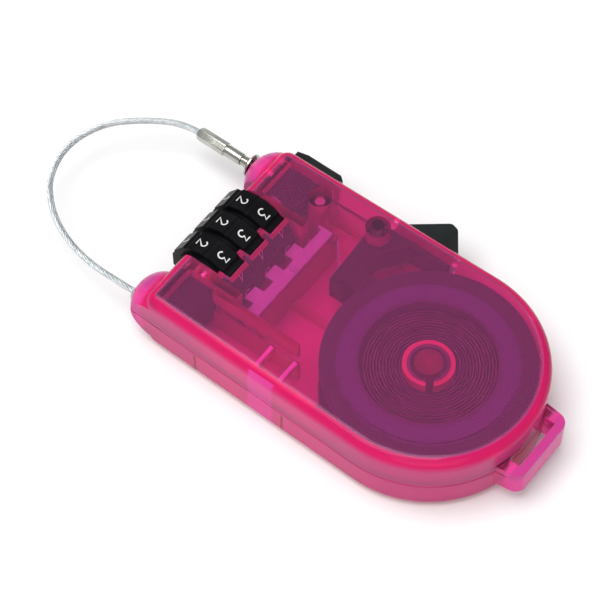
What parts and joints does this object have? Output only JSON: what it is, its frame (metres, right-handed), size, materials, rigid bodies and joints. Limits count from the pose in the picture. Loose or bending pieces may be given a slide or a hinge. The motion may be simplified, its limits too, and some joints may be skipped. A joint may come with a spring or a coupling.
{
  "type": "cable luggage lock",
  "caption": "Flat retractable cable lock with a rounded translucent casing, number dials, a release button, a brake lever, a lanyard tab and a thin steel cable loop that plugs in.",
  "frame": {"origin": "on the flat back face, on the axis of the cable spool, which is the centre of the casing's round end", "axes": "+Z from the back face to the front face, +Y towards the dials and the cable, +X towards the release button, the brake lever and the plug"},
  "size_m": [0.0493, 0.1081, 0.0159],
  "materials": {
    "shell_plastic": "translucent magenta polycarbonate, lightly frosted, polished edges",
    "black_plastic": "satin black moulded plastic",
    "dial_plastic": "satin black plastic with white printed numbers",
    "sleeve_plastic": "natural grey plastic",
    "spool_plastic": "dark grey moulded plastic",
    "spring_steel": "bright spring steel",
    "nickel": "nickel plated brass",
    "cable_steel": "fine twisted steel strands in clear coating",
    "pad_rubber": "black rubber"
  },
  "bodies": {
    "housing": {"back_shell": "shell_plastic", "front_shell": "shell_plastic", "case_screw": "spring_steel", "lever_pivot_pin": "spring_steel", "detent_spring": "spring_steel", "cable_guide": "black_plastic", "cable_grommet": "nickel", "plug_socket": "nickel", "plug_catch": "spring_steel", "spindle_spring": "spring_steel", "lever_spring": "spring_steel", "power_spring": "spring_steel", "spool_arbor": "shell_plastic"},
    "dial_1": {"dial_1_ring": "dial_plastic", "dial_1_sleeve": "sleeve_plastic"},
    "dial_2": {"dial_2_ring": "dial_plastic", "dial_2_sleeve": "sleeve_plastic"},
    "dial_3": {"dial_3_ring": "dial_plastic", "dial_3_sleeve": "sleeve_plastic"},
    "release": {"release_button": "black_plastic", "lock_spindle": "nickel"},
    "cable": {"cable_loop": "cable_steel", "cable_lead": "cable_steel", "cable_ferrule": "nickel", "cable_plug": "nickel"},
    "spool": {"spool_drum": "spool_plastic", "spool_flange": "spool_plastic", "cable_winding": "cable_steel"},
    "lever": {"brake_lever": "black_plastic", "brake_pad": "pad_rubber"}
  },
  "joints": [
    {"name": "dial_1_turn", "type": "hinge", "parent": "housing", "child": "dial_1", "pos_m": [-0.0058, 0.0433, 0.008], "axis": [1, 0, 0], "continuous": true},
    {"name": "dial_2_turn", "type": "hinge", "parent": "housing", "child": "dial_2", "pos_m": [0, 0.0433, 0.008], "axis": [1, 0, 0], "continuous": true},
    {"name": "dial_3_turn", "type": "hinge", "parent": "housing", "child": "dial_3", "pos_m": [0.0058, 0.0433, 0.008], "axis": [1, 0, 0], "continuous": true},
    {"name": "button_press", "type": "slide", "parent": "housing", "child": "release", "axis": [-1, 0, 0], "range_m": [0, 0.0018], "stiffness_N_per_m": 300, "springref_m": -0.002, "deforming": ["spindle_spring"]},
    {"name": "cable_pull", "type": "slide", "parent": "housing", "child": "cable", "axis": [0, 1, 0], "range_m": [0, 0.0125], "deforming": ["plug_catch"]},
    {"name": "spool_turn", "type": "hinge", "parent": "housing", "child": "spool", "pos_m": [0, 0, 0.0073], "axis": [0, 0, 1], "range_deg": [-41.5, 0], "deforming": ["power_spring"]},
    {"name": "lever_press", "type": "hinge", "parent": "housing", "child": "lever", "pos_m": [0.0171, 0.0237, 0.0073], "axis": [0, 0, 1], "range_deg": [-8, 0], "stiffness_Nm_per_rad": 0.05, "springref_deg": 5.73, "deforming": ["lever_spring"]}
  ],
  "couplings": [
    {"joint": "spool_turn", "follows": "cable_pull", "rad_per_m": -57.471}
  ]
}
